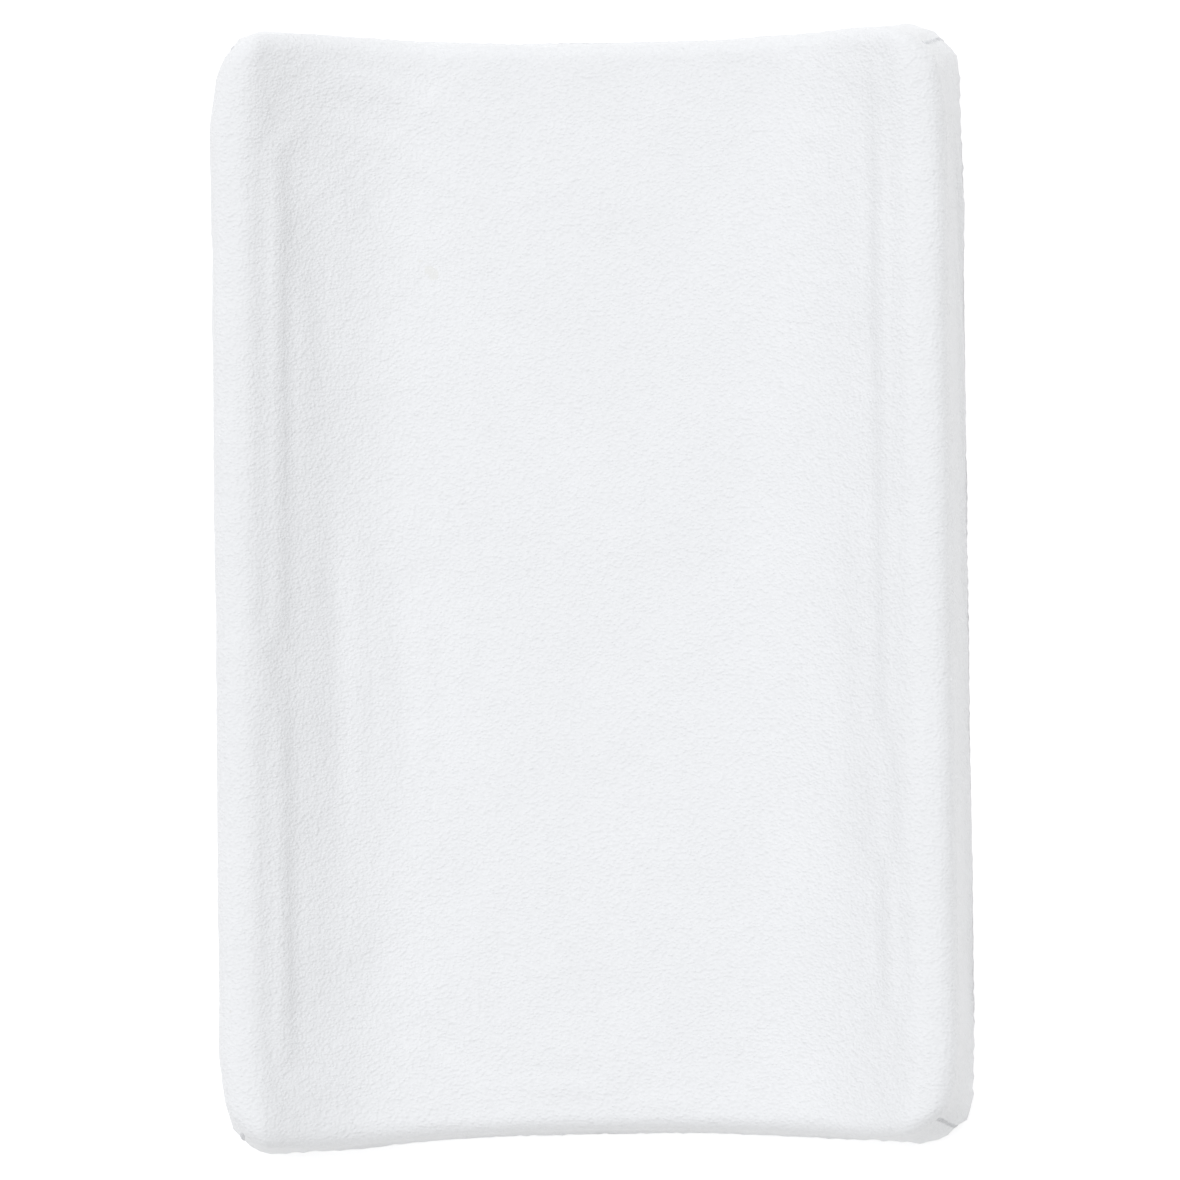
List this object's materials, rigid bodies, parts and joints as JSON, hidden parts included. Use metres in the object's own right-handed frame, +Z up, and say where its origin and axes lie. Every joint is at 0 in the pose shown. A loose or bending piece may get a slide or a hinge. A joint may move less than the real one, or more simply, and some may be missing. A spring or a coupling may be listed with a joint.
{
  "type": "changing pad",
  "caption": "Contoured baby changing pad with raised long sides, under a fitted white terry cover with an elastic hem; zipped wipe-clean liner round a foam core.",
  "frame": {"origin": "middle of the footprint, on the surface that the pad lies on", "axes": "+X across the width towards the pad's right side seen from above with the head end away, +Y along the length towards the head end, +Z up through the lying surface"},
  "size_m": [0.4988, 0.7488, 0.1],
  "materials": {
    "terry": "white cotton terry with a fine loop pile",
    "seam_thread": "white overlocked seam",
    "hem_jersey": "white knitted cotton, gathered",
    "elastic": "braided white elastic",
    "label_satin": "white satin ribbon, blank",
    "liner": "wipe-clean coated fabric, fine leather-like grain",
    "grip": "grey non-slip mesh with raised dots",
    "fibre": "white polyester wadding",
    "foam": "cream open-cell polyurethane foam",
    "zip_tape": "white woven polyester tape",
    "zip_plastic": "white moulded acetal",
    "zip_metal": "nickel-plated zinc, satin"
  },
  "bodies": {
    "pad": {"terry_cover": "terry", "cover_corner_seams": "seam_thread", "hem_casing": "hem_jersey", "hem_elastic": "elastic", "care_label": "label_satin", "liner_top_panel": "liner", "liner_side_band": "liner", "liner_base_left": "liner", "liner_base_right": "liner", "grip_pad_left": "grip", "grip_pad_right": "grip", "fibre_wrap": "fibre", "foam_slab": "foam", "foam_bolster_left": "foam", "foam_bolster_right": "foam", "zip_tape_left": "zip_tape", "zip_tape_right": "zip_tape", "zip_teeth_left": "zip_plastic", "zip_teeth_right": "zip_plastic", "zip_stops": "zip_plastic"},
    "slider": {"zip_slider": "zip_metal", "zip_pull_pin": "zip_metal"},
    "pull_tab": {"zip_pull_tab": "zip_metal"}
  },
  "joints": [
    {"name": "zip_travel", "type": "slide", "parent": "pad", "child": "slider", "axis": [0, -1, 0], "range_m": [0, 0.51], "deforming": ["zip_teeth_left", "zip_teeth_right"]},
    {"name": "pull_tab_hinge", "type": "hinge", "parent": "slider", "child": "pull_tab", "pos_m": [0, 0.25705, 0.00685], "axis": [1, 0, 0], "range_deg": [0, 165]}
  ]
}
